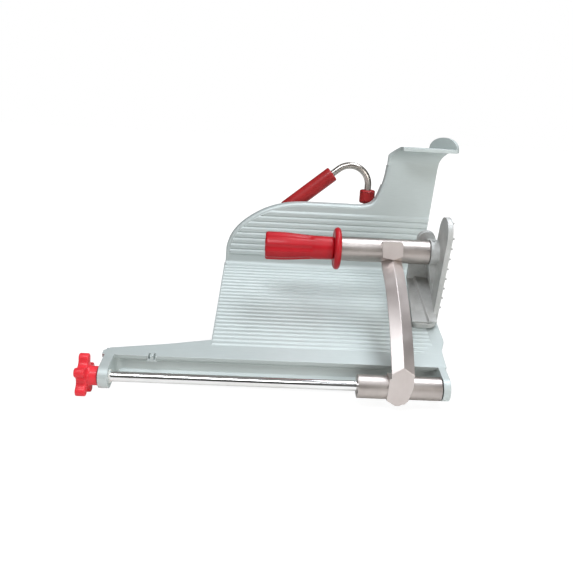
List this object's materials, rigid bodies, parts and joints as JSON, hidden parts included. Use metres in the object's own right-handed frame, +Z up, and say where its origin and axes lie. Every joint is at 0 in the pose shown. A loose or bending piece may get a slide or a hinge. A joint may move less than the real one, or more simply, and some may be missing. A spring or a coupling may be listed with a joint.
{
  "type": "food slicer product table",
  "caption": "Ridged sloping product tray of a food slicer with a back wall, finger guard, slide rod, swinging pusher arm with a toothed plate, star knob and rear handle.",
  "frame": {"origin": "centre of the pedestal's underside, which is the surface the part stands on", "axes": "+X along the slide rod towards the pusher end, +Y away from the operator towards the back wall, +Z up"},
  "size_m": [0.4711, 0.3224, 0.3079],
  "materials": {
    "table_casting": "satin anodised",
    "pedestal_casting": "satin",
    "fastener_steel": "satin",
    "rod_chrome": "polished",
    "black_rubber": "matte",
    "pale_nylon": "satin",
    "red_gloss": "glossy",
    "red_satin": "satin",
    "brass_insert": "turned",
    "bronze_bush": "turned",
    "arm_stainless": "brushed",
    "handle_stainless": "polished",
    "pusher_casting": "rough cast"
  },
  "bodies": {
    "table": {"product_table": "table_casting", "pedestal": "pedestal_casting", "pedestal_screws": "fastener_steel", "slide_rod": "rod_chrome", "rod_lock_screw": "fastener_steel", "left_bumper": "pale_nylon", "right_bumper": "black_rubber", "rear_handle_bar": "handle_stainless", "rear_grip_long": "red_satin", "rear_grip_short": "red_satin", "handle_nut_left": "fastener_steel", "handle_nut_right": "fastener_steel"},
    "slide_bushes": {"slide_bush_left": "bronze_bush", "slide_bush_right": "bronze_bush"},
    "arm": {"lower_sleeve": "arm_stainless", "arm_bar": "arm_stainless", "upper_sleeve": "arm_stainless", "spindle_bush_left": "bronze_bush", "spindle_bush_right": "bronze_bush"},
    "pusher": {"spindle": "handle_stainless", "spindle_washer": "black_rubber", "handle_disc": "red_gloss", "handle_grip": "red_gloss", "handle_end_cap": "red_gloss", "pusher_plate": "pusher_casting", "pusher_set_screw": "fastener_steel"},
    "knob_seat": {"knob_washer": "black_rubber"},
    "knob": {"star_knob": "red_gloss", "knob_insert": "brass_insert"}
  },
  "joints": [
    {"name": "arm_slide", "type": "slide", "parent": "table", "child": "slide_bushes", "axis": [1, 0, 0], "range_m": [-0.286, 0]},
    {"name": "arm_swing", "type": "hinge", "parent": "slide_bushes", "child": "arm", "pos_m": [0, -0.125, 0.026], "axis": [1, 0, 0], "range_deg": [0, 110]},
    {"name": "pusher_pivot", "type": "hinge", "parent": "arm", "child": "pusher", "pos_m": [0, 0.0026, 0.163], "axis": [1, 0, 0], "range_deg": [-25, 0]},
    {"name": "knob_travel", "type": "slide", "parent": "table", "child": "knob_seat", "axis": [-1, 0, 0], "range_m": [0, 0.0038]},
    {"name": "knob_turn", "type": "hinge", "parent": "knob_seat", "child": "knob", "pos_m": [-0.33, -0.125, 0.026], "axis": [-1, 0, 0], "range_deg": [0, 1080]}
  ],
  "couplings": [
    {"joint": "knob_travel", "follows": "knob_turn", "m_per_rad": 0.00019894}
  ]
}
